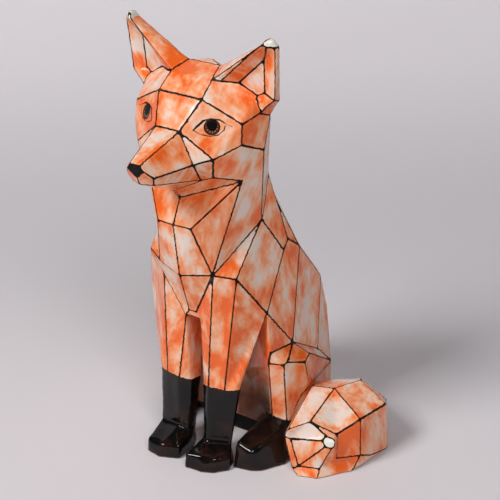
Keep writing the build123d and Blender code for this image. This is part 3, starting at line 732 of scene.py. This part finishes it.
def eyes(tree, place, colour):
    """The iris and pupil of both eyes, drawn on the flat of the cheek facets, in mm."""
    x, y, z = link(tree, "ShaderNodeSeparateXYZ", Vector=place).outputs
    x = number(tree, "ABSOLUTE", number(tree, "SUBTRACT", x, fox.x * MM))
    one_side = link(tree, "ShaderNodeCombineXYZ", X=x, Y=y, Z=z).outputs[0]
    start = (eye_middle[0] * MM, (eye_middle[1] + fox.y) * MM, eye_middle[2] * MM)
    off = link(tree, "ShaderNodeVectorMath", operation="SUBTRACT",
               i0=one_side, i1=start).outputs[0]

    def along(direction):
        return link(tree, "ShaderNodeVectorMath", operation="DOT_PRODUCT", i0=off,
                    i1=tuple(c / MM for c in direction)).outputs["Value"]

    u, v, w = along(EYE_ALONG), along(EYE_UP), along(EYE_OUT)

    def oval(middle_u, middle_v, half_u, half_v):
        a = number(tree, "DIVIDE", number(tree, "SUBTRACT", u, middle_u), half_u)
        b = number(tree, "DIVIDE", number(tree, "SUBTRACT", v, middle_v), half_v)
        return number(tree, "SQRT", number(tree, "ADD", number(tree, "POWER", a, 2.0),
                                           number(tree, "POWER", b, 2.0)))

    near = ease(tree, number(tree, "ABSOLUTE", w), EYE_DEEP, EYE_SHALLOW)
    iris, pupil = oval(*IRIS), oval(*PUPIL)
    round_it = number(tree, "MULTIPLY", number(tree, "ARCTAN2", v, u), FLECKS)
    spoke = number(tree, "SINE", round_it)
    eye = blend(tree, ease(tree, spoke, -0.5, 0.6), iris_brown, fleck_brown)
    eye = blend(tree, ease(tree, v, -0.5, 1.5), eye, lid_shade)
    eye = blend(tree, ease(tree, iris, 0.62, 0.80), eye, rim_brown)
    eye = blend(tree, ease(tree, iris, 0.80, 0.90), eye, liner_black)
    eye = blend(tree, ease(tree, pupil, 1.08, 0.94), eye, liner_black)
    seen = number(tree, "MULTIPLY", near, ease(tree, iris, 1.05, 0.96))
    return blend(tree, seen, colour, eye), seen


head_washes_and_highlight = [
    # the bridge-whisker-cheek facet is thinned almost to cream: partly paler stain, partly a
    # painted highlight
    ("bridge whisker cheek", 3.0), ("brow ~brow bridge ~bridge", -0.3),
    ("brow ~brow crown ~crown ear_root ~ear_root", -0.6),
    ("brow bridge cheek cheek_back temple", 0.3),
    ("~brow ~bridge ~cheek ~cheek_back ~temple", -0.8),
    ("bridge ~bridge nose_top ~nose_top", -0.6),
    ("bridge nose_top nose_side lip whisker", -0.2), ("whisker lip chin_side jaw", -0.1),
    ("cheek cheek_back neck_side jowl neck shoulder", 0.6), ("neck collar chest", -0.6),
    ("temple cheek_back neck_side ear_front ear_back", -0.6), ("neck chest shoulder", 0.4)]
head_glaze = sponged_glaze("sponged orange glaze with eyes", face=eyes, marks=0.6, shift=-0.02)
head = take_piece("head", "head_sponged", washes=head_washes_and_highlight,
                  fills=[("nose_low nose_side nose_top ~nose_top ~nose_side", BLACK)])
finish_piece(head, "head", head_glaze)

# Each ear is a small solid earthenware casting with a dished front, luted to
# the top of the head. Its tip is left cream, with the line ringed thickly
# under it.
name_corners("""
lat_in 45 25 265; lat_out 54 22 263; lat_back 51 33 259; deep_up 46 22 287;
tip_in 48.5 13.5 299.2; tip_mid 52 15 298; tip_out 56 18 297.4; tip_back 57.5 22 298;
tip_rear 49.2 25 298.6; cap_in 49.8 15.5 302.2; cap_mid 52.8 17 302.2; cap_out 55.8 19.5 301.4;
cap_rear 50.8 23.5 302.2; cap 52.5 19.5 303.4
""")
paint_lines(1.3, "low lat_in")
paint_lines(1.3, "lat_in lat_out; ear_front lat_out", mirrored=False)
paint_lines(1.9, "~ear_front ~lat_out ~tip_out", mirrored=False)
paint_lines(1.0, """
rim_in tip_in; deep_up tip_mid; deep_up lat_in;
lat_out lat_back; lat_back tip_back; lat_back ear_back; crown tip_rear
""")
paint_lines(1.0, "ear_root tip_in; deep deep_up; lat_out tip_out", mirrored=False)
paint_lines(0.5, "~ear_root ~tip_in", mirrored=False)
paint_lines(1.3, "tip_in tip_mid tip_out tip_back tip_rear tip_in", mirrored=False)
paint_lines((1.9, 0.7), "tip_in cap_in; cap_in cap", mirrored=False)
paint_lines(1.3, "~tip_mid ~cap_mid ~cap_in ~tip_in", mirrored=False)
paint_lines(0.8, "~tip_out ~cap_out ~cap; ~cap_rear ~cap; ~tip_rear ~cap_rear", mirrored=False)
cap_names = "tip_in tip_mid tip_out tip_back tip_rear cap_in cap_mid cap_out cap_rear cap"
inside = "deep deep_up lat_in low"
band = "rim_in deep deep_up tip_mid tip_in"
front = "deep_up lat_in lat_out tip_out tip_mid"
ear_washes = {"left": [(band, -2.0), (inside, 0.4), (front, 0.3),
                       ("lat_out tip_out tip_back lat_back", 0.2)],
              "right": [(band, 1.5), (inside, 1.8), (front, 3.5),
                        ("ear_root rim_in tip_in tip_rear crown", -2.2)]}


def on_side(side, names):
    """The named corners of the left ear, or the same ones of the right ear."""
    return names if side == "left" else " ".join("~" + n for n in names.split())


for side in ("left", "right"):
    washes = [(on_side(side, names), amount) for names, amount in ear_washes[side]]
    ear = take_piece(f"{side}_ear", f"{side}_ear_sponged", washes=washes,
                     fills=[(on_side(side, cap_names), CREAM)])
    finish_piece(ear, f"{side}_ear", orange_glaze)

# Each foreleg is a hollow earthenware casting, luted upright under the chest
# and glazed like it. Two lines run down it to the edge of the black sock.
name_corners("""
sock_1 12 7 57; sock_2 24 10 56; sock_4 32 16 57; sock_5 26 26 54;
sock_6 12 28 53
""")
paint_lines(1.0, "chest sock_1; point sock_2; elbow sock_4; ~crotch_low ~sock_1; ~arm ~sock_2",
            mirrored=False)
paint_lines(0.95, "~elbow ~sock_4; ~arm ~crotch_low; ~arm ~point", mirrored=False)
paint_lines(0.75, "armpit sock_5; sock_6 belly_1")
FORELEG_WASH = -0.9                     # the stain lies thicker here than on the torso
for side in ("left", "right"):
    leg = take_piece(f"{side}_foreleg", f"{side}_foreleg_sponged", paler=FORELEG_WASH)
    finish_piece(leg, f"{side}_foreleg", orange_glaze)

# Socks with forepaws and the hind feet are earthenware castings too, luted
# under the legs and the belly. They are dipped in a thick black glaze that
# breaks to brown where it runs thin.
run_black, thin_brown = (0.004, 0.0035, 0.0035, 1), (0.018, 0.007, 0.005, 1)
wiped_clay = (0.40, 0.20, 0.11, 1)
DIPPED_FOOT = 0.0012                    # m above the floor: dipped from here up


def black_glaze():
    """The dip is one even black, glossy, with slow waves in it."""
    material = bpy.data.materials.new("black glaze")
    material.use_nodes = True
    tree = material.node_tree
    shader = tree.nodes["Principled BSDF"]
    place = tree.nodes.new("ShaderNodeTexCoord").outputs["Object"]
    broad = link(tree, "ShaderNodeTexNoise", Vector=place, Scale=60, Detail=2.0).outputs[0]
    fine = link(tree, "ShaderNodeTexNoise", Vector=place, Scale=500, Detail=2.0).outputs[0]
    brown = ease(tree, number(tree, "MULTIPLY_ADD", fine, 0.2, broad), 0.56, 0.78)
    colour = blend(tree, brown, run_black, thin_brown)
    height = link(tree, "ShaderNodeSeparateXYZ", Vector=place).outputs[2]
    wiped = ease(tree, height, DIPPED_FOOT, CLAY_TOP)
    colour = blend(tree, wiped, colour, wiped_clay)
    tree.links.new(colour, shader.inputs["Base Color"])
    rough = number(tree, "MULTIPLY_ADD", fine, 0.05, 0.06)
    rough = number(tree, "MULTIPLY_ADD", wiped, 0.7, rough)
    tree.links.new(rough, shader.inputs["Roughness"])
    shader.inputs["Specular IOR Level"].default_value = 0.32
    waves = number(tree, "MULTIPLY_ADD", fine, 0.05, broad)
    bump = link(tree, "ShaderNodeBump", Strength=0.6, Distance=GLAZE_WAVE, Height=waves)
    tree.links.new(bump.outputs[0], shader.inputs["Normal"])
    return material


poured_black = black_glaze()
for side in ("left", "right"):
    for part in ("forepaw", "hind_foot"):
        foot = take_piece(f"{side}_{part}", f"{side}_{part}_black")
        finish_piece(foot, f"{side}_{part}", poured_black)

# The tail is a hollow earthenware casting that curls forward along the left
# thigh, luted on at the rump. Its tip, a small flat facet, is left cream in a
# black ring.
name_corners("""
t_root' 60 62 46; t_top' 75 66 47; t_far' 84 88 46; t_edge' 106 84 36; t_mid' 102 55 37;
t_ridge' 93 40 30; t_fore' 77 33 38; t_left' 66 21 34; t_lip' 62 22 28; t_cap' 67 24 26;
t_cap_low' 73 25 6; t_toe' 70 21 5; t_low' 87 30 6; t_wall' 93 40 11; t_wall_mid' 104 54 10;
t_wall_far' 107 63 6; tip_a' 88 34 30; tip_b' 88 30 28; tip_c' 90 30 24; tip_d' 94 31 23;
tip_e' 96 33 25; tip_f' 95 35 29; g_1' 74 21 0; g_2' 88 25 0; g_3' 102 46 0; g_4' 108 86 0;
g_5' 92 114 0; g_6' 73 130 0; g_7' 46 134 0; b_1' 58 79 42;
b_2' 78 99 40; b_3' 100 96 32; b_4' 92 112 16; b_5' 72 126 16; b_6' 45 130 7
""")
paint_lines(1.2, "t_lip' t_cap' tip_b'; tip_a' tip_b' tip_c' tip_d' tip_e' tip_f' tip_a'",
            mirrored=False)
paint_lines(1.5, "t_edge' t_mid' t_ridge'", mirrored=False)
paint_lines(0.5, "t_top' t_far' t_edge'; t_ridge' t_wall'", mirrored=False)
paint_lines(0.95, """
t_root' t_top'; t_top' t_fore'; t_top' t_mid';
t_mid' t_wall_mid'; t_wall' t_wall_mid' t_wall_far' g_4'; t_wall_mid' g_3'; t_fore' t_left';
t_fore' tip_a'; t_cap' t_cap_low'; t_cap_low' tip_c'; tip_d' t_low' g_2'; t_cap_low' t_toe';
t_cap_low' t_low'; t_root' t_left' t_lip'; t_root' b_1' b_2' b_3' b_4' b_5' b_6'; b_2' t_far';
b_2' b_5'; b_3' t_edge'; b_4' g_5'; b_5' g_6'; b_6' g_7'; t_fore' t_ridge'; t_lip' t_toe' g_1'
""", mirrored=False)
tail_washes = [
    ("t_top' t_far' t_edge' t_mid'", -1.2), ("t_top' t_mid' t_ridge' tip_a' tip_f' t_fore'", 0.2),
    ("t_root' t_top' t_fore' t_left'", 0.6), ("t_mid' t_edge' t_wall_mid' t_wall_far' g_4'", 1.2),
    ("t_mid' t_ridge' t_wall' t_wall_mid'", -1.0),
    ("t_left' t_fore' tip_a' tip_b' t_cap' t_lip'", 0.2),
    ("t_cap' t_cap_low' t_toe' t_lip' t_left' g_1'", 0.6),
    ("t_cap_low' t_toe' t_low' g_1' g_2'", 0.8)]
tail = take_piece("tail", "tail_sponged", paler=0.5, washes=tail_washes,
                  fills=[("tip_a' tip_b' tip_c' tip_d' tip_e' tip_f'", CREAM)])
finish_piece(tail, "tail", orange_glaze)

# The fox stands on a sheet of lilac grey paper that curves up behind it. Its
# sizes are in metres. Light is painted into its tone: darker in the middle, as
# painted shade, and lighter far off behind the fox, as painted light.
FRONT, BEND, BEND_RADIUS, TOP, HALF_WIDE = -1.2, 0.9, 0.7, 2.2, 2.2
BEND_STEPS = 16
# near: the paper's tone; middle: darker, painted shade; far: lighter, painted light; and the
# painted glow's colour
near_tone, middle_shaded_tone = (0.69, 0.66, 0.685, 1), (0.63, 0.60, 0.62, 1)
far_lit_tone, painted_glow_colour = (0.75, 0.715, 0.74, 1), (1.0, 0.94, 0.98, 1)
bm = bmesh.new()
rows = [(FRONT, 0.0), (BEND, 0.0)]
for i in range(1, BEND_STEPS + 1):
    a = math.radians(90 * i / BEND_STEPS)
    rows.append((BEND + BEND_RADIUS * math.sin(a), BEND_RADIUS - BEND_RADIUS * math.cos(a)))
rows.append((BEND + BEND_RADIUS, TOP))
ahead = Vector((-math.sin(turn), math.cos(turn), 0))
strips = [[bm.verts.new(ahead * y + across * x + Vector((0, 0, z)))
           for x in (-HALF_WIDE, HALF_WIDE)] for y, z in rows]
for a, b in zip(strips, strips[1:]):
    bm.faces.new((a[0], a[1], b[1], b[0])).smooth = True
sweep_mesh = bpy.data.meshes.new("paper_sweep")
bm.to_mesh(sweep_mesh)
bm.free()
sweep = bpy.data.objects.new("paper_sweep", sweep_mesh)
bpy.context.scene.collection.objects.link(sweep)
paper = bpy.data.materials.new("lilac grey paper with painted light")
paper.use_nodes = True
tree = paper.node_tree
place = tree.nodes.new("ShaderNodeTexCoord").outputs["Object"]
far = link(tree, "ShaderNodeVectorMath", operation="DOT_PRODUCT",
           i0=place, i1=tuple(ahead)).outputs["Value"]
# painted shade and light: the paper is darker in the middle and lighter far off
paper_tone_and_light = blend(tree, ease(tree, far, 0.02, 0.30), near_tone, middle_shaded_tone)
paper_tone_and_light = blend(tree, ease(tree, far, 0.40, 1.0), paper_tone_and_light, far_lit_tone)
sheet = tree.nodes["Principled BSDF"].inputs
tree.links.new(paper_tone_and_light, sheet["Base Color"])
rays = tree.nodes.new("ShaderNodeLightPath").outputs
# far off the paper glows for the camera: painted light
painted_glow = number(tree, "MULTIPLY", ease(tree, far, 0.30, 0.9), 0.12)
painted_glow = number(tree, "MULTIPLY", painted_glow, rays["Is Camera Ray"])
tree.links.new(painted_glow, sheet["Emission Strength"])
sheet["Emission Color"].default_value = painted_glow_colour
sheet["Roughness"].default_value = 0.9
sweep.data.materials.append(paper)


# Two soft square lamps light the fox, the main one high on the left and a
# weaker one in front. Each has its side in metres and its power in watts.
LAMP_AWAY = 3.0


def lamp(name, direction, size, power):
    data = bpy.data.lights.new(name, "AREA")
    data.size, data.energy = size, power
    obj = bpy.data.objects.new(name, data)
    obj.location = aim + direction.normalized() * LAMP_AWAY
    obj.rotation_euler = (-direction).to_track_quat("-Z", "Y").to_euler()
    bpy.context.scene.collection.objects.link(obj)


lamp("main lamp", across * -0.58 - ahead * 0.405 + Vector((0, 0, 0.707)), 1.0, 68)
lamp("front lamp", across * 0.16 - ahead * 0.72 + Vector((0, 0, 0.675)), 1.1, 33)

# The rest of the light is a dim white room, half as bright in the glaze's gloss.
ROOM, ROOM_IN_GLOSS = 0.08, 0.04
world = bpy.data.worlds.new("studio")
world.use_nodes = True
sky = world.node_tree
rays = sky.nodes.new("ShaderNodeLightPath").outputs
sky.nodes["Background"].inputs[0].default_value = (1, 1, 1, 1)
sky.links.new(number(sky, "MULTIPLY_ADD", rays["Is Glossy Ray"], ROOM_IN_GLOSS - ROOM, ROOM),
              sky.nodes["Background"].inputs[1])
bpy.context.scene.world = world
bpy.context.scene.view_settings.view_transform = "Standard"
